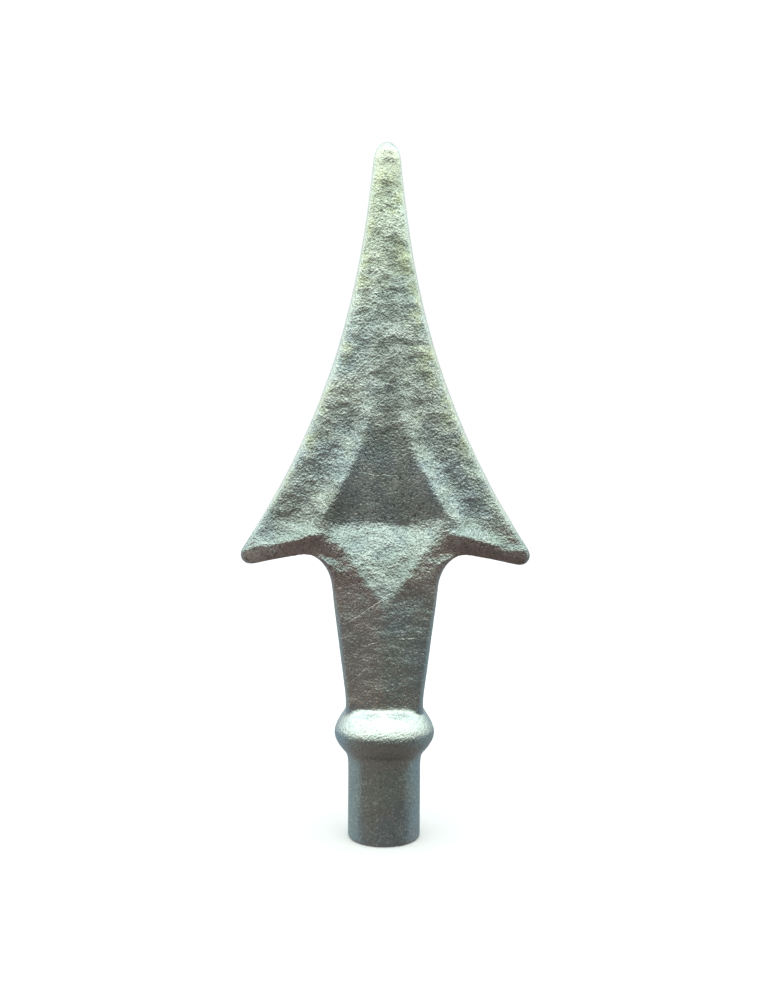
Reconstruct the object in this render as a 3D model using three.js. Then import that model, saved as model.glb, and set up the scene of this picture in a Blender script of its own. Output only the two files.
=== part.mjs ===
// Fence spear finial, forged in one piece: a round shank, a collar bead, a tapered neck and a
// flat spear head with two drooping barbs.
// Millimetres. The middle of the shank's flat end is the origin, +Z runs up to the point and
// the front faces -Y. Front and back are alike, and so are left and right.
import * as THREE from "three";
import { mergeVertices } from "three/addons/utils/BufferGeometryUtils.js";

// Heights above the shank's end
const HEIGHT = 154;
const NECK_FOOT = 31;
const NECK_TOP = 52.2;
const VALLEY = 68.9;
const POINT_START = 149.4;

// Round shank, and the bead: a blunt cone above its middle and a steeper one below, turned only
// as far as the crown, from where it is pressed in to the neck's foot
const SHANK_RADIUS = 8;
const END_BREAK = 0.25;
const END_HOLD = 0.6;
const BEAD_MIDDLE = 23.1;
const BEAD_RADIUS = 11.1;
const BEAD_TOP_SLOPE = 0.75;
const BEAD_TOP_NOSE = 2.5;
const BEAD_FOOT_SLOPE = 1.2;
const BEAD_FOOT_NOSE = 3.5;
const BEAD_CROWN = 9.3;
const FOOT_LEVEL = 28.1;
const FOOT_RISE = 0.14;
const FOOT_HOLD = 0.35;
const FOOT_HOLD_SHARE = 0.4;

// Neck: half widths and half depths at the bead and at the top, and its rounded corners
const NECK_FOOT_HALF = 8.55;
const NECK_TOP_HALF = 11.35;
const NECK_FOOT_DEPTH = 7.3;
const NECK_TOP_DEPTH = 7.1;
const NECK_FOOT_DROP = 2;
const NECK_CORNER_DROP = 1.4;
const NECK_CORNER = 1.9;
const NECK_PANEL = 0.45;

// Lower outline, sideways and up: the neck's side, a fillet, the barb's heel and its end
const FILLET_START = new THREE.Vector2(11.75, 56.2);
const FILLET_RISE = new THREE.Vector2(12.2, 59.3);
const FILLET_REACH = new THREE.Vector2(14.4, 62.6);
const FILLET_END = new THREE.Vector2(17.9, 62.75);
const BARB_HEEL = new THREE.Vector2(29.3, 60.15);
const BARB_TURN = new THREE.Vector2(31.9, 59.6);
const BARB_END = new THREE.Vector2(32.2, 62.4);

// Shoulder facet: its border from the neck's ridge up to the node where the ridges start
const FACET_FOOT_HALF = 0.9;
const FACET_LOW = new THREE.Vector2(4.5, 57.4);
const FACET_HIGH = new THREE.Vector2(10.3, 65.6);

// Outer edge of the head: half width at the point and how it flares to the barbs
const POINT_HALF = 3.1;
const EDGE_TAPER = 8.6;
const EDGE_FLARE = 19.8;
const EDGE_POWER = 2.4;
const EDGE_FOOT = 64;

// The two ridges: close together at the point, splaying from RIDGE_SPLIT down to the node
const RIDGE_SPLIT = 108;
const RIDGE_NODE = 67.9;
const RIDGE_POINT_HALF = 1.2;
const RIDGE_SPLIT_HALF = 1.8;
const RIDGE_SPLAY = 13.8;
const RIDGE_POWER = 2.2;

// Half depths of the head at a height: on the middle, on the ridges and where the edge rounds off
const MIDDLE_DEPTH = [
  [68.9, 2.6], [80.9, 4.05], [90, 4.85], [97, 5.1], [104, 4.95], [112, 4.6], [130, 3.75], [149.4, 2.65],
];
const RIDGE_DEPTH = [
  [67.9, 5.35], [72, 5.7], [78, 5.95], [86, 5.85], [94, 5.5],
  [104, 5.2], [112, 4.85], [130, 4], [149.4, 2.8],
];
const EDGE_DEPTH = [
  [62.4, 2.2], [70, 2.7], [80, 3.15], [95, 3.55], [112, 3.8], [130, 3.6], [149.4, 2.55],
];
const EDGE_ROUND = [[62.4, 1.7], [72, 2.4], [95, 2.8], [120, 2.3], [149.4, 1.6]];

// Share of the way from ridge to edge in which the ridge's side runs down to the flank, and share
// of the whole fall that it takes
const RIDGE_RUN = [[62.4, 1], [65, 0.55], [70, 0.42], [82, 0.38], [95, 0.38], [120, 0.6], [149.4, 1]];
const RIDGE_FALL = 0.65;

// How hollow the dish and the facet are across, and how the facet's middle and border bulge upwards
const DISH_HOLLOW = 1.5;
const FACET_HOLLOW = 1.6;
const FACET_BULGE = 1.2;
const BORDER_BULGE = 1.7;

// Shares of the way along the barb between which the neck's thickness runs out
const WEB_START = 0.24;
const WEB_END = 0.82;

// Saddle beside the facet's upper corner, where the dish runs out over the barb's bevel: how far
// the facet's corner stays inside the ridge, the hump of the ridge as it turns out to the barb,
// the share of the way where that hump peaks, and how fast it all fades up and down
const SADDLE_IN = 3.8;
const SADDLE_HUMP = 1.35;
const SADDLE_PEAK = 0.2;
const SADDLE_FADE_UP = 8;
const SADDLE_FADE_DOWN = 4;
// Share of the head's rows that fan down into the barbs
const BARB_FAN = 0.3;

// A rounded edge falls by this share of its half depth, or of its round where that is less
const EDGE_FALL_DEPTH = 0.75;
const EDGE_FALL_ROUND = 1.1;

// How finely each part is divided, and how its rows crowd towards the first or the last
const SHANK_ROWS = 4;
const BEAD_FOOT_ROWS = 6;
const BEAD_TOP_ROWS = 7;
const NECK_ROWS = 8;
const BARB_ROWS = 18;
const BLADE_ROWS = 38;
const POINT_ROWS = 4;
const NECK_CROWDING = 1.2;
const BARB_CROWDING = 1.25;
const BLADE_CROWDING = 1.35;
const PANEL_STEPS = [0, 0.3, 0.58, 0.82, 1];
const FLANK_STEPS = [0.08, 0.18, 0.3, 0.46, 0.72, 1];
const EDGE_STEPS = [45, 90];
const MERGE = 1e-3;
const QUARTER = PANEL_STEPS.length + FLANK_STEPS.length + EDGE_STEPS.length + 1;

const { lerp, smoothstep, degToRad } = THREE.MathUtils;

function through(stations) {
  const heights = stations.map(([at]) => at);
  const values = stations.map(([, value]) => value);
  const curve = new THREE.CubicInterpolant(heights, values, 1);
  return (at) => curve.evaluate(at)[0];
}

const middleDepth = through(MIDDLE_DEPTH);
const ridgeDepth = through(RIDGE_DEPTH);
const edgeDepth = through(EDGE_DEPTH);
const edgeRound = through(EDGE_ROUND);
const ridgeRun = through(RIDGE_RUN);

function steps(count) {
  return Array.from({ length: count }, (_, i) => (i + 1) / count);
}

function headHalfWidth(z) {
  const down = (POINT_START - z) / (POINT_START - EDGE_FOOT);
  return POINT_HALF + EDGE_TAPER * down + EDGE_FLARE * Math.max(down, 0) ** EDGE_POWER;
}

function ridgeOffset(z) {
  if (z > RIDGE_SPLIT) {
    const up = (z - RIDGE_SPLIT) / (POINT_START - RIDGE_SPLIT);
    return lerp(RIDGE_SPLIT_HALF, RIDGE_POINT_HALF, up);
  }
  const down = (RIDGE_SPLIT - z) / (RIDGE_SPLIT - RIDGE_NODE);
  return RIDGE_SPLIT_HALF + RIDGE_SPLAY * down ** RIDGE_POWER;
}

// A row is a quarter of one section, from the middle of the front round to the side.
// Each point holds its sideways distance, its half depth and its height.
function roundRow(radius, z) {
  return Array.from({ length: QUARTER }, (_, i) => {
    const turn = (0.5 * Math.PI * i) / (QUARTER - 1);
    return new THREE.Vector3(radius * Math.sin(turn), radius * Math.cos(turn), z);
  });
}

// A pressed row: a panel from the middle to the ridge, a flank that runs down from the ridge
// towards the edge, and the rounded edge itself.
function pressedRow(middle, ridge, side, depth, round, run, dished) {
  const row = PANEL_STEPS.map((t) => {
    const raised = lerp(middle.y, ridge.y, t ** dished);
    return new THREE.Vector3(ridge.x * t, raised, lerp(middle.z, ridge.z, t));
  });
  const away = new THREE.Vector2(side.x - ridge.x, side.y - ridge.z).normalize();
  const edge = side.clone().addScaledVector(away, -round);
  for (const t of FLANK_STEPS) {
    const sunk = lerp(ridge.y, depth, run(t));
    row.push(new THREE.Vector3(lerp(ridge.x, edge.x, t), sunk, lerp(ridge.z, edge.y, t)));
  }
  const fall = Math.min(EDGE_FALL_DEPTH * depth, EDGE_FALL_ROUND * round);
  for (const angle of EDGE_STEPS.map(degToRad)) {
    const at = edge.clone().addScaledVector(away, round * Math.sin(angle));
    row.push(new THREE.Vector3(at.x, depth - fall * (1 - Math.cos(angle)), at.y));
  }
  row.push(new THREE.Vector3(side.x, 0, side.y));
  return row;
}

function evenRun(t) {
  return t;
}

// A run that first humps up by a height and then falls evenly from one depth to another.
function humpedRun(from, to, hump) {
  const lift = (t) => hump * (1 - t) * smoothstep(t, 0, SADDLE_PEAK);
  return (t) => t - lift(t) / (from - to);
}

// How far from the bead's middle one of its two blunt cones has a radius.
function beadReach(radius, slope, nose) {
  const slant = (BEAD_RADIUS - radius) / slope + nose;
  return Math.sqrt(slant ** 2 - nose ** 2);
}

function turnedRows() {
  const flat = SHANK_RADIUS - END_BREAK;
  const rows = [roundRow(0, 0), roundRow(flat - END_HOLD, 0), roundRow(flat, 0)];
  rows.push(roundRow(SHANK_RADIUS, END_BREAK));
  const shankTop = BEAD_MIDDLE - beadReach(SHANK_RADIUS, BEAD_FOOT_SLOPE, BEAD_FOOT_NOSE);
  for (const t of [0, ...steps(SHANK_ROWS)]) {
    rows.push(roundRow(SHANK_RADIUS, lerp(END_BREAK + END_HOLD, shankTop, t)));
  }
  for (const t of steps(BEAD_FOOT_ROWS)) {
    const radius = lerp(BEAD_RADIUS, SHANK_RADIUS, (1 - t) ** 2);
    rows.push(roundRow(radius, BEAD_MIDDLE - beadReach(radius, BEAD_FOOT_SLOPE, BEAD_FOOT_NOSE)));
  }
  for (const t of steps(BEAD_TOP_ROWS)) {
    const radius = lerp(BEAD_RADIUS, BEAD_CROWN, t ** 2);
    rows.push(roundRow(radius, BEAD_MIDDLE + beadReach(radius, BEAD_TOP_SLOPE, BEAD_TOP_NOSE)));
  }
  return rows;
}

function neckRow(z, t) {
  const half = lerp(NECK_FOOT_HALF, NECK_TOP_HALF, t);
  const depth = lerp(NECK_FOOT_DEPTH, NECK_TOP_DEPTH, t);
  const drop = lerp(NECK_FOOT_DROP, NECK_CORNER_DROP, t);
  const panel = lerp(NECK_PANEL * half, FACET_FOOT_HALF, t);
  const middle = new THREE.Vector3(0, depth, z);
  const ridge = new THREE.Vector3(panel, depth - (drop * panel) / half, z);
  const side = new THREE.Vector2(half, z);
  return pressedRow(middle, ridge, side, depth - drop, NECK_CORNER, evenRun, 1);
}

// The neck's foot on the bead, level across its front, with a row close outside and one close
// above that hold the corner between them, and the neck above.
function neckRows() {
  const foot = neckRow(NECK_FOOT, 0).map(({ x, y }) => {
    return new THREE.Vector3(x, y, FOOT_LEVEL + FOOT_RISE * y);
  });
  const crown = BEAD_MIDDLE + beadReach(BEAD_CROWN, BEAD_TOP_SLOPE, BEAD_TOP_NOSE);
  const outside = foot.map(({ x, y, z }) => {
    const radius = Math.hypot(x, y);
    const share = Math.min(FOOT_HOLD / (BEAD_CROWN - radius), FOOT_HOLD_SHARE);
    const wider = lerp(1, BEAD_CROWN / radius, share);
    return new THREE.Vector3(x * wider, y * wider, lerp(z, crown, share));
  });
  const above = foot.map(({ x, y, z }) => new THREE.Vector3(x, y, z + FOOT_HOLD));
  const heights = [0, ...steps(NECK_ROWS)].map((t) => t ** NECK_CROWDING);
  return [outside, foot, above, ...heights.map((t) => neckRow(lerp(NECK_FOOT, NECK_TOP, t), t))];
}

// Ribs that fan out from the shoulder facet to the lower outline of the barb.
function barbRows() {
  const outline = new THREE.Path();
  outline.moveTo(NECK_TOP_HALF, NECK_TOP);
  outline.lineTo(FILLET_START.x, FILLET_START.y);
  outline.bezierCurveTo(
    FILLET_RISE.x, FILLET_RISE.y, FILLET_REACH.x, FILLET_REACH.y, FILLET_END.x, FILLET_END.y,
  );
  outline.lineTo(BARB_HEEL.x, BARB_HEEL.y);
  outline.quadraticCurveTo(BARB_TURN.x, BARB_TURN.y, BARB_END.x, BARB_END.y);
  const facet = new THREE.CubicBezierCurve(
    new THREE.Vector2(FACET_FOOT_HALF, NECK_TOP),
    FACET_LOW,
    FACET_HIGH,
    new THREE.Vector2(ridgeOffset(RIDGE_NODE) - SADDLE_IN, RIDGE_NODE),
  );
  const footDepth = NECK_TOP_DEPTH - (NECK_CORNER_DROP * FACET_FOOT_HALF) / NECK_TOP_HALF;
  return steps(BARB_ROWS).map((u) => {
    const t = 1 - (1 - u) ** BARB_CROWDING;
    const border = facet.getPoint(t);
    const up = (border.y - NECK_TOP) / (RIDGE_NODE - NECK_TOP);
    const valley = lerp(NECK_TOP_DEPTH, middleDepth(VALLEY), t ** FACET_BULGE);
    const middle = new THREE.Vector3(0, valley, lerp(NECK_TOP, VALLEY, t));
    const crest = lerp(footDepth, ridgeDepth(RIDGE_NODE), up ** BORDER_BULGE);
    const ridge = new THREE.Vector3(border.x, crest, border.y);
    const web = smoothstep(t, WEB_START, WEB_END);
    const depth = lerp(NECK_TOP_DEPTH - NECK_CORNER_DROP, edgeDepth(BARB_END.y), web);
    const round = lerp(NECK_CORNER, edgeRound(BARB_END.y), t);
    const run = humpedRun(crest, depth, SADDLE_HUMP * t ** SADDLE_FADE_DOWN);
    return pressedRow(middle, ridge, outline.getPoint(t), depth, round, run, FACET_HOLLOW);
  });
}

// Ribs across the head from the barbs' ends up to the point, which closes in a dome.
function bladeRows() {
  const rows = steps(BLADE_ROWS).map((u) => {
    const t = u ** BLADE_CROWDING;
    const z = lerp(VALLEY, POINT_START, t);
    const droop = Math.max(1 - t / BARB_FAN, 0) ** 2;
    const ridgeZ = z - (VALLEY - RIDGE_NODE) * droop;
    const sideZ = z - (VALLEY - BARB_END.y) * droop;
    const middle = new THREE.Vector3(0, middleDepth(z), z);
    const saddle = droop ** SADDLE_FADE_UP;
    const crest = ridgeDepth(ridgeZ);
    const ridge = new THREE.Vector3(ridgeOffset(ridgeZ) - SADDLE_IN * saddle, crest, ridgeZ);
    const side = new THREE.Vector2(headHalfWidth(sideZ), sideZ);
    const [depth, round, share] = [edgeDepth, edgeRound, ridgeRun].map((along) => along(sideZ));
    const humped = humpedRun(crest, depth, SADDLE_HUMP * saddle);
    const run = (at) => lerp(lerp(at, smoothstep(at, 0, share), RIDGE_FALL), humped(at), saddle);
    return pressedRow(middle, ridge, side, depth, round, run, DISH_HOLLOW);
  });
  const last = rows[rows.length - 1];
  for (const t of steps(POINT_ROWS)) {
    const rise = Math.sin(0.5 * Math.PI * t);
    const shrink = Math.sqrt(1 - rise * rise);
    const z = lerp(POINT_START, HEIGHT, rise);
    rows.push(last.map((p) => new THREE.Vector3(p.x * shrink, p.y * shrink, z)));
  }
  return rows;
}

// A turned blank with one ring of points per row, pressed out to the rows' quarters.
function finialGeometry() {
  const rows = [...turnedRows(), ...neckRows(), ...barbRows(), ...bladeRows()];
  const reach = QUARTER - 1;
  const profile = rows.map((row) => new THREE.Vector2(row[reach].x, row[reach].z));
  const blank = new THREE.LatheGeometry(profile, 4 * reach);
  const position = blank.getAttribute("position");
  for (let i = 0; i < position.count; i += 1) {
    const column = Math.floor(i / rows.length) % (4 * reach);
    const fromFront = Math.min(column, 4 * reach - column);
    const point = rows[i % rows.length][Math.min(fromFront, 2 * reach - fromFront)];
    const x = column > 2 * reach ? -point.x : point.x;
    const y = fromFront < reach ? -point.y : point.y;
    position.setXYZ(i, x, y, point.z);
  }
  blank.deleteAttribute("normal");
  blank.deleteAttribute("uv");
  const merged = mergeVertices(blank, MERGE);
  merged.computeVertexNormals();
  return merged;
}

const finial = new THREE.Mesh(
  finialGeometry(),
  new THREE.MeshStandardMaterial({ color: 0x8f9a93, metalness: 0.9, roughness: 0.45 }),
);
finial.name = "spear_finial";

const part = new THREE.Group();
part.add(finial);

export default part;
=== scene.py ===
import math
from types import SimpleNamespace

import bmesh
import bpy
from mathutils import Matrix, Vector, noise


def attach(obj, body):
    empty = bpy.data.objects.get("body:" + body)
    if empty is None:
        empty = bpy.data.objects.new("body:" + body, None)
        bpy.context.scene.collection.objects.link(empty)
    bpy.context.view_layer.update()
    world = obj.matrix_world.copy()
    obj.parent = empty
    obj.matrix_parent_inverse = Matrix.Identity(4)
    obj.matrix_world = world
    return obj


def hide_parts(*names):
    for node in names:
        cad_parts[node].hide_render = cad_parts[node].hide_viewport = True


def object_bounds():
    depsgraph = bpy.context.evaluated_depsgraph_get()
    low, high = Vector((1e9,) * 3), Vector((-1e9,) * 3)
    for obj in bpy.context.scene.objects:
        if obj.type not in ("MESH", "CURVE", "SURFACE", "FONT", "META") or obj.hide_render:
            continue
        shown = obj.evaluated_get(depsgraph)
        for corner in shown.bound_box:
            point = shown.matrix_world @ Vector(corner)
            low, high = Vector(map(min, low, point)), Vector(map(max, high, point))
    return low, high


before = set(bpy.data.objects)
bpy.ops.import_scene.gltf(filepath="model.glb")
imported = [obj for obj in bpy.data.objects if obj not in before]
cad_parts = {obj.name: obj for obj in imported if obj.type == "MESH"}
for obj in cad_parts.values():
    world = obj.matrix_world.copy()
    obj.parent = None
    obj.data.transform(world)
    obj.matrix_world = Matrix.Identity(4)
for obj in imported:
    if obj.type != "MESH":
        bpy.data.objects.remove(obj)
cad_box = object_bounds()

MM = 0.001
NODE = "spear_finial"

# Levels above the shank's end
SHANK_TOP = 18.8 * MM
BEAD_MIDDLE = 23.1 * MM
NECK_FOOT = 29.4 * MM
NECK_TOP = 52.2 * MM
VALLEY = 68.9 * MM
DISH_TOP = 95.0 * MM
HEIGHT = cad_box[1].z

# The net of small faces that carries the forged surface: each smoothing pass draws it in, and
# the next lets it out again
MERGE = 0.002 * MM
NET_SIZE = 0.37 * MM
NET_SMOOTHING = (0.5, -0.5, 0.5, -0.5)

# Forged relief, layer by layer: its spread along X, Y and Z, and how far it stands out
RELIEF = (
    (Vector((9, 9, 8)) * MM, 0.26 * MM),
    (Vector((4.2, 4.2, 3.4)) * MM, 0.21 * MM),
    (Vector((2.1, 2.1, 1.6)) * MM, 0.135 * MM),
    (Vector((1.1, 1.1, 0.8)) * MM, 0.045 * MM),
)

# Shares of the relief: on shank and bead, what the neck adds, what the head's open faces add and
# its hollows lose, and what every rim loses
ROUND_SHARE = 0.3
NECK_SHARE = 0.3
OPEN_SHARE = 0.78
HOLLOW_LOSS = 0.38
RIM_LOSS = 0.8

# The photograph's frame: the camera stood close, level with the head's foot
IMAGE_HEIGHT = 1000
PIXEL = 0.2222 * MM
END_ROW = 835
CAMERA_DISTANCE = 212 * MM
CAMERA_ROLL = math.radians(-0.29)
CAMERA_NEAR = 0.01
SENSOR = 36


def ramp(value, low, high):
    """0 below low, 1 above high, with an easy curve between."""
    t = min(max((value - low) / (high - low), 0), 1)
    return t * t * (3 - 2 * t)


def spread(place, size):
    return Vector((place.x / size.x, place.y / size.y, place.z / size.z))


def refined_solid():
    """The solid's own form, merged, rounded over and cut into an even net of small faces."""
    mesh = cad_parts[NODE].data.copy()
    net = bmesh.new()
    net.from_mesh(mesh)
    bmesh.ops.remove_doubles(net, verts=net.verts, dist=MERGE)
    bmesh.ops.join_triangles(
        net, faces=net.faces, angle_face_threshold=math.pi, angle_shape_threshold=math.pi
    )
    net.to_mesh(mesh)
    net.free()
    piece = bpy.data.objects.new("forged_finial", mesh)
    bpy.context.scene.collection.objects.link(piece)
    rounding = piece.modifiers.new("rounding", "SUBSURF")
    rounding.levels = 2
    rounding.render_levels = 2
    even = piece.modifiers.new("even net", "REMESH")
    even.mode = "VOXEL"
    even.voxel_size = NET_SIZE
    settled = piece.evaluated_get(bpy.context.evaluated_depsgraph_get())
    piece.data = bpy.data.meshes.new_from_object(settled)
    piece.modifiers.clear()
    return piece


def forged_share(place, normal):
    """How much relief a place has: full on the head's open faces, least on rims and shank."""
    neck = ramp(place.z, NECK_FOOT - MM, NECK_FOOT + MM)
    head = ramp(place.z, NECK_TOP, NECK_TOP + 5 * MM)
    open_face = ramp(normal.z, -0.12, 0.06)
    rim = ramp(abs(normal.y), 0.85, 0.35)
    share = ROUND_SHARE + NECK_SHARE * neck + head * (OPEN_SHARE * open_face - HOLLOW_LOSS)
    return share * (1 - RIM_LOSS * rim)


def work_surface(piece):
    """Raises the forged relief on the net, and keeps it within the solid's own box."""
    net = bmesh.new()
    net.from_mesh(piece.data)
    for factor in NET_SMOOTHING:
        bmesh.ops.smooth_vert(
            net, verts=net.verts, factor=factor, use_axis_x=True, use_axis_y=True, use_axis_z=True
        )
    bmesh.ops.recalc_face_normals(net, faces=net.faces)
    net.normal_update()
    height = net.verts.layers.float.new("relief")
    low, high = cad_box
    full = sum(rise for _, rise in RELIEF)
    moves = []
    for vert in net.verts:
        stand = sum(rise * noise.noise(spread(vert.co, size)) for size, rise in RELIEF)
        vert[height] = stand / full
        moves.append(vert.normal * stand * forged_share(vert.co, vert.normal))
    for vert, move in zip(net.verts, moves):
        place = vert.co + move
        vert.co = [min(max(value, least), most) for value, least, most in zip(place, low, high)]
    for face in net.faces:
        face.smooth = True
    net.to_mesh(piece.data)
    net.free()


class Value:
    """A socket of a shader that can be used in sums."""

    def __init__(self, finish, socket):
        self.finish = finish
        self.socket = socket

    def maths(self, operation, *values):
        return self.finish.node("ShaderNodeMath", {"operation": operation}, dict(enumerate(values)))

    def size(self):
        return self.maths("ABSOLUTE", self)

    def at_least(self, other):
        return self.maths("MAXIMUM", self, other)

    def __add__(self, other):
        return self.maths("ADD", self, other)

    def __sub__(self, other):
        return self.maths("SUBTRACT", self, other)

    def __mul__(self, other):
        return self.maths("MULTIPLY", self, other)

    def __truediv__(self, other):
        return self.maths("DIVIDE", self, other)

    def __pow__(self, other):
        return self.maths("POWER", self, other)

    def __radd__(self, other):
        return self.maths("ADD", other, self)

    def __rsub__(self, other):
        return self.maths("SUBTRACT", other, self)

    def __rmul__(self, other):
        return self.maths("MULTIPLY", other, self)


class Finish:
    """A node tree, with one way to add a node to it."""

    def __init__(self, tree):
        self.tree = tree
        self.tree.nodes.clear()

    def node(self, kind, settings=None, inputs=None, output=0):
        made = self.tree.nodes.new(kind)
        for name, value in (settings or {}).items():
            setattr(made, name, value)
        for name, value in (inputs or {}).items():
            if isinstance(value, Value):
                self.tree.links.new(value.socket, made.inputs[name])
            else:
                made.inputs[name].default_value = value
        return Value(self, made.outputs[output]) if made.outputs else made

    def span(self, value, low, high, to_low=0.0, to_high=1.0):
        return self.node(
            "ShaderNodeMapRange",
            {"interpolation_type": "SMOOTHSTEP"},
            {"Value": value, "From Min": low, "From Max": high, "To Min": to_low, "To Max": to_high},
        )

    def blend(self, share, first, second):
        return self.node(
            "ShaderNodeMix", {"data_type": "RGBA"}, {"Factor": share, 6: first, 7: second}, output=2
        )

    def parts(self, vector):
        return [self.node("ShaderNodeSeparateXYZ", {}, {0: vector}, output=i) for i in range(3)]

    def along(self, place, direction, start):
        """How far a place lies along a direction, counted from a start."""
        reach = self.node(
            "ShaderNodeVectorMath", {"operation": "DOT_PRODUCT"}, {0: place, 1: direction}, output=1
        )
        return reach - direction.dot(start)

    def scratch(self, place, start, end, width):
        """1 on a straight scratch in the front, 0 beside it."""
        run = end - start
        share = self.along(place, run / run.length_squared, start)
        aside = self.along(place, run.normalized().cross(Vector((0, 1, 0))), start)
        within = self.span(share, -0.08, 0.08) * self.span(share, 1.08, 0.92)
        return self.span(aside.size(), width, 0.0) * within

    def speckle(self, place, size, detail=2.0, roughness=0.5, stretch=(1, 1, 1)):
        scaled = self.node(
            "ShaderNodeVectorMath", {"operation": "MULTIPLY"}, {0: place, 1: [s / size for s in stretch]}
        )
        return self.node(
            "ShaderNodeTexNoise",
            {},
            {"Vector": scaled, "Scale": 1.0, "Detail": detail, "Roughness": roughness},
        )


ZINC_LIGHT = (0.74, 0.80, 0.73, 1)
# Mint white, used only as a painted highlight on the bead's crown
PAINTED_HIGHLIGHT = (0.78, 0.86, 0.80, 1)
ZINC_GREY = (0.37, 0.41, 0.375, 1)
ZINC_BLUE = (0.345, 0.41, 0.42, 1)
ZINC_YELLOW = (0.50, 0.57, 0.39, 1)
# Brown, used for brown patches and as painted shade on faces that look down
BROWN_TINT_AND_SHADE = (0.42, 0.33, 0.30, 1)
ZINC_RUST = (0.46, 0.33, 0.22, 1)
ZINC_DARK = (0.10, 0.12, 0.11, 1)
# Cream, used only as a painted highlight on the head's rims and point
CREAM_HIGHLIGHT = (0.80, 0.82, 0.72, 1)
ZINC_TEAL = (0.27, 0.35, 0.34, 1)
ZINC_OLIVE = (0.46, 0.50, 0.27, 1)

# Sizes of the finish's patterns, from clouds of colour down to flecks, and how high the bumps stand
CLOUD_SIZE = 14 * MM
PATCH_SIZE = 5 * MM
GRAIN_SIZE = 0.52 * MM
FLECK_SIZE = 0.4 * MM
STREAK_SIZE = 0.5 * MM
STREAK_STRETCH = (1, 1, 0.08)
BUMP_HEIGHT = 0.28 * MM

# The head's outer edge: half its width at a height, along which the zinc has yellowed
EDGE_TOP = 149.4 * MM
EDGE_LENGTH = 85.4 * MM
EDGE_TOP_HALF = 3.1 * MM
EDGE_TAPER = 8.6 * MM
EDGE_FLARE = 19.8 * MM
EDGE_POWER = 2.4
EDGE_BORDER = 6 * MM

# A painted cream highlight covers the point from here up, and the groove between the ridges is darker
TIP_HIGHLIGHT_FROM = 141 * MM
GROOVE_ASIDE = 0.6 * MM
GROOVE_HALF = 3.2 * MM
GROOVE_END = 9 * MM

# Scratches on the front of the neck, the facet and the dish, sideways and up in millimetres, and
# how they wander
SCRATCHES = (
    ((-7.9, 48.2), (-0.6, 53.3)),
    ((-8.6, 41.1), (-4.3, 43.3)),
    ((-4.3, 43.3), (0.6, 45.1)),
    ((0.6, 45.1), (8.8, 45.3)),
    ((-0.6, 40.0), (3.4, 41.8)),
    ((-7.4, 34.9), (-3.4, 38.9)),
    ((-7.0, 64.4), (0.6, 68.9)),
    ((-1.2, 53.1), (3.4, 56.0)),
    ((-7.5, 81.6), (-2.0, 80.4)),
    ((-2.0, 80.4), (8.0, 80.3)),
)
SCRATCH_WIDTH = 0.24 * MM
WANDER_SCALE = 0.35 / MM
WANDER_REACH = 0.9 * MM


def zones(finish):
    """Where a place lies, which way it faces and the patterns on it, as values from 0 to 1."""
    on = SimpleNamespace()
    on.place = finish.node("ShaderNodeTexCoord", output="Object")
    on.sideways, on.deep, on.level = finish.parts(on.place)
    _, outward, on.facing = finish.parts(finish.node("ShaderNodeTexCoord", output="Normal"))
    on.relief = finish.node("ShaderNodeAttribute", {"attribute_name": "relief"}, output="Fac")
    on.head = finish.span(on.level, NECK_TOP, NECK_TOP + 8 * MM)
    on.blade = finish.span(on.level, VALLEY, DISH_TOP)
    on.upper = finish.span(on.level, DISH_TOP, HEIGHT)
    on.neck = finish.span(on.level, NECK_FOOT - MM, NECK_FOOT + MM)
    shank = finish.span(on.level, SHANK_TOP + MM, SHANK_TOP - MM)
    on.bead = 1 - on.neck - shank
    # 1 on faces that look up or across, 0.4 on faces that look down
    on.sheltered = finish.span(on.facing, 0.04, -0.12, 1.0, 0.4)
    tilted = finish.span(outward.size(), 0.86, 0.5) * finish.span(on.facing, -0.15, 0.05)
    # Painted highlight: faces near the head's edges that turn sideways, and the point, are made cream
    rim = finish.span(on.level, VALLEY - 6 * MM, VALLEY) * tilted
    on.rim = rim.at_least(finish.span(on.level, TIP_HIGHLIGHT_FROM, HEIGHT))
    on.cloud = finish.speckle(on.place, CLOUD_SIZE)
    on.patch = finish.speckle(on.place, PATCH_SIZE, detail=3.0, roughness=0.6)
    on.grain = finish.speckle(on.place, GRAIN_SIZE, roughness=0.6)
    on.fleck = finish.speckle(on.place, FLECK_SIZE, detail=1.0)
    on.streak = finish.speckle(on.place, STREAK_SIZE, stretch=STREAK_STRETCH)
    return on


def scratched(finish, on):
    """1 in the front's scratches, which wander and break off, and 0 beside them."""
    wander = finish.node(
        "ShaderNodeTexNoise",
        {},
        {"Vector": on.place, "Scale": WANDER_SCALE, "Detail": 2.0},
        output="Color",
    )
    bent = finish.node(
        "ShaderNodeVectorMath",
        {"operation": "MULTIPLY_ADD"},
        {0: wander, 1: [WANDER_REACH] * 3, 2: on.place},
    )
    lines = 0.0
    for (x0, z0), (x1, z1) in SCRATCHES:
        start, end = Vector((x0, 0, z0)) * MM, Vector((x1, 0, z1)) * MM
        lines = lines + finish.scratch(bent, start, end, SCRATCH_WIDTH)
    unbroken = finish.span(on.patch, 0.36, 0.6) * finish.span(on.fleck, 0.34, 0.52)
    return lines * finish.span(on.deep, 0.0, -MM) * unbroken


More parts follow.
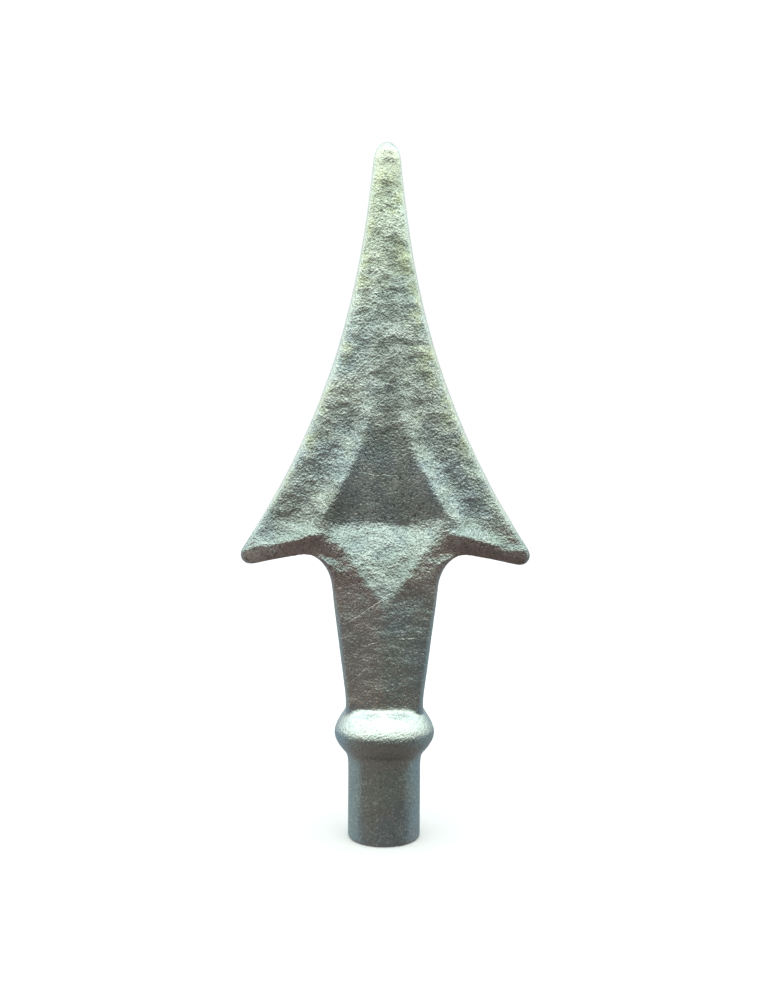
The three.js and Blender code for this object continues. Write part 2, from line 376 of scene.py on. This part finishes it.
def zinc_colour(finish, on):
    """Grey and blue zinc, with tints, wear, darker spots, painted highlights and painted shade laid over
    it one after the other.
    """
    yellowed = on.upper * 0.6 + on.head * 0.2 * finish.span(on.patch, 0.5, 0.68)
    down = ((EDGE_TOP - on.level) / EDGE_LENGTH).at_least(0.0)
    half = EDGE_TOP_HALF + EDGE_TAPER * down + EDGE_FLARE * down ** EDGE_POWER
    border = finish.span(half - on.sideways.size(), EDGE_BORDER, MM)
    olive = border * on.blade * 0.55 * finish.span(on.patch, 0.42, 0.62)
    # Painted highlight: the bead's crown just under the neck is made bright where it faces up
    crown_highlight = finish.span(on.level, NECK_FOOT + 2 * MM, NECK_FOOT + MM)
    crown_highlight = crown_highlight * finish.span(on.facing, 0.05, 0.35)
    # Painted shade: faces that look down, from just below the head's foot to the valley, turn brown
    underside_shade = finish.span(on.facing, 0.12, -0.12)
    underside_shade = underside_shade * finish.span(on.level, NECK_TOP - 6 * MM, NECK_TOP + 8 * MM)
    underside_shade = underside_shade * finish.span(on.level, VALLEY + MM, VALLEY - 3 * MM)
    # Random patches below the head, and the neck's left half, are browner
    left_side = on.neck * finish.span(on.sideways, 1.5 * MM, -2 * MM)
    brown_patches_and_left_half = 0.3 * finish.span(on.patch, 0.5, 0.72) + 0.3 * left_side
    rusty = on.neck * finish.span(on.level, NECK_FOOT + 9 * MM, NECK_FOOT)
    rusty = rusty * finish.span(on.grain, 0.45, 0.62)
    raised = finish.span(on.relief, 0.02, 0.2) * on.head
    # Light grain flecks, partly painted shade: they fade to 0.4 on faces that look down
    bright_grain = finish.span(on.grain, 0.53, 0.70) * (0.25 + 0.4 * on.head) * on.sheltered
    flecked = finish.span(on.fleck, 0.60, 0.70) * (1 - on.head) * (1 - on.bead)
    # The groove between the ridges, and the relief's low spots on the head, are darker
    groove = finish.span((on.sideways - GROOVE_ASIDE).size(), GROOVE_HALF, 0.0)
    groove = groove * on.blade * finish.span(on.level, HEIGHT, HEIGHT - GROOVE_END)
    pitted = finish.span(on.relief, 0.0, -0.22) * (0.2 * on.head + 0.2 * groove)
    darker_groove_and_low_spots = pitted + 0.1 * groove * finish.span(on.patch, 0.42, 0.6)
    dark_grain = finish.span(on.grain, 0.46, 0.30) * (0.35 + 0.45 * on.head)
    facet = finish.span(on.level, VALLEY + 2 * MM, VALLEY - 2 * MM)
    facet = facet * on.neck * finish.span(on.facing, 0.05, 0.25)
    coats = (
        (yellowed, ZINC_YELLOW),
        (olive, ZINC_OLIVE),
        (crown_highlight * 0.5, PAINTED_HIGHLIGHT),
        (underside_shade * 0.8 + brown_patches_and_left_half * (1 - on.head), BROWN_TINT_AND_SHADE),
        (rusty * 0.6, ZINC_RUST),
        (raised * 0.3, ZINC_LIGHT),
        (bright_grain, ZINC_LIGHT),
        (flecked * 0.7, ZINC_LIGHT),
        (darker_groove_and_low_spots, ZINC_DARK),
        (dark_grain, ZINC_DARK),
        (on.rim * 0.55, CREAM_HIGHLIGHT),
        (facet * (0.2 + 0.3 * finish.span(on.patch, 0.4, 0.65)), ZINC_TEAL),
    )
    colour = finish.blend(finish.span(on.cloud, 0.4, 0.62), ZINC_GREY, ZINC_BLUE)
    for share, coat in coats:
        colour = finish.blend(share, colour, coat)
    return colour


def zinc_bumps(finish, on):
    """Grain that is coarsest on the head, a crinkled foot and streaks on the bead, and scratches."""
    crinkled = on.bead * finish.span(on.level, BEAD_MIDDLE + 4 * MM, BEAD_MIDDLE + MM)
    coarse = 0.58 * on.head * on.sheltered * (1 - 0.4 * on.rim)
    rough = 0.28 + 0.28 * on.neck + coarse - 0.1 * on.upper + 0.35 * crinkled
    height = rough * on.grain + (1 - on.head) * 0.15 * on.fleck
    height = height + on.bead * 0.2 * on.streak - 0.2 * scratched(finish, on)
    return finish.node(
        "ShaderNodeBump", {}, {"Strength": 1.0, "Distance": BUMP_HEIGHT, "Height": height}
    )


def zinc_finish():
    material = bpy.data.materials.new("dull_zinc_on_forged_steel")
    material.use_nodes = True
    finish = Finish(material.node_tree)
    on = zones(finish)
    gloss = 0.34 - 0.06 * on.bead + 0.14 * (on.patch - 0.5) + 0.1 * (on.grain - 0.5)
    shader = finish.node(
        "ShaderNodeBsdfPrincipled",
        {},
        {
            "Base Color": zinc_colour(finish, on),
            "Roughness": gloss,
            "Metallic": 1.0,
            "Normal": zinc_bumps(finish, on),
        },
    )
    finish.node("ShaderNodeOutputMaterial", {}, {"Surface": shader})
    return material


FLOOR_RADIUS = 3
FLOOR_SIDES = 96
FLOOR_PALE = (0.9, 0.9, 0.89, 1)


def plain_floor():
    net = bmesh.new()
    bmesh.ops.create_circle(net, cap_ends=True, segments=FLOOR_SIDES, radius=FLOOR_RADIUS)
    mesh = bpy.data.meshes.new("floor")
    net.to_mesh(mesh)
    net.free()
    floor = bpy.data.objects.new("floor", mesh)
    bpy.context.scene.collection.objects.link(floor)
    material = bpy.data.materials.new("pale_floor")
    material.use_nodes = True
    finish = Finish(material.node_tree)
    shader = finish.node(
        "ShaderNodeBsdfPrincipled", {}, {"Base Color": FLOOR_PALE, "Roughness": 0.9}
    )
    finish.node("ShaderNodeOutputMaterial", {}, {"Surface": shader})
    mesh.materials.append(material)
    floor.visible_glossy = False


# Room light: dim below and reddish from the floor, brighter the higher it comes from and at
# the sides, warm from the left, and cool from behind
LIGHT_FOOT = -0.04
FRONT_DIM = 0.145
FRONT_RISE = 2.9
FRONT_POWER = 1.4
BACK_DIM = 0.5
BACK_RISE = 0.9
WALL_LIGHT = 0.6
FLOOR_LIGHT = 1.15
REDDISH = (1.0, 0.86, 0.84, 1)
WARM = (1.0, 0.90, 0.86, 1)
NEUTRAL = (0.97, 1.0, 0.98, 1)
GREENISH = (0.92, 1.0, 0.94, 1)
COOL = (0.78, 0.95, 1.05, 1)
WHITE = (1, 1, 1, 1)


def studio():
    world = bpy.data.worlds.new("studio")
    bpy.context.scene.world = world
    world.use_nodes = True
    sky = Finish(world.node_tree)
    across, away, up = sky.parts(sky.node("ShaderNodeTexCoord", output="Generated"))
    rise = (up - LIGHT_FOOT).at_least(0.0)
    left = sky.span(across, 0.15, -0.5)
    walls = sky.span(across.size(), 0.4, 0.92) * sky.span(up, -0.06, 0.18)
    behind = sky.span(away, -0.22, 0.02) * (1 - walls) * sky.span(up, -0.8, -0.45)
    below = sky.span(up, -0.2, -0.5)
    front = FRONT_DIM + 0.06 * left + 0.1 * below + FRONT_RISE * rise ** FRONT_POWER
    back = BACK_DIM + 0.1 * left + BACK_RISE * rise
    dome = front + behind * (back - front) + WALL_LIGHT * walls
    tint = sky.blend(left, NEUTRAL, WARM)
    tint = sky.blend(below, tint, REDDISH)
    tint = sky.blend(sky.span(up, -0.05, 0.35), tint, GREENISH)
    tint = sky.blend(behind, tint, COOL)
    seen, on_floor = (
        sky.node("ShaderNodeLightPath", output=ray) for ray in ("Is Camera Ray", "Is Diffuse Ray")
    )
    plain = seen + on_floor
    strength = seen + FLOOR_LIGHT * on_floor + (1 - plain) * dome
    colour = sky.blend(plain, tint, WHITE)
    room = sky.node("ShaderNodeBackground", {}, {"Color": colour, "Strength": strength})
    sky.node("ShaderNodeOutputWorld", {}, {"Surface": room})


def photo_camera():
    camera = bpy.data.cameras.new("camera")
    camera.sensor_width = SENSOR
    camera.lens = SENSOR * CAMERA_DISTANCE / (IMAGE_HEIGHT * PIXEL)
    holder = bpy.data.objects.new("camera", camera)
    level = (END_ROW - IMAGE_HEIGHT / 2) * PIXEL
    holder.location = (0, -CAMERA_DISTANCE, level)
    holder.rotation_euler = (math.pi / 2, CAMERA_ROLL, 0)
    camera.clip_start = CAMERA_NEAR
    bpy.context.scene.collection.objects.link(holder)
    bpy.context.scene.camera = holder
    bpy.context.scene.view_settings.view_transform = "Standard"


photo_camera()
studio()
plain_floor()

finial = refined_solid()
work_surface(finial)
finial.data.materials.clear()
finial.data.materials.append(zinc_finish())
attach(finial, "root")
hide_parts(NODE)
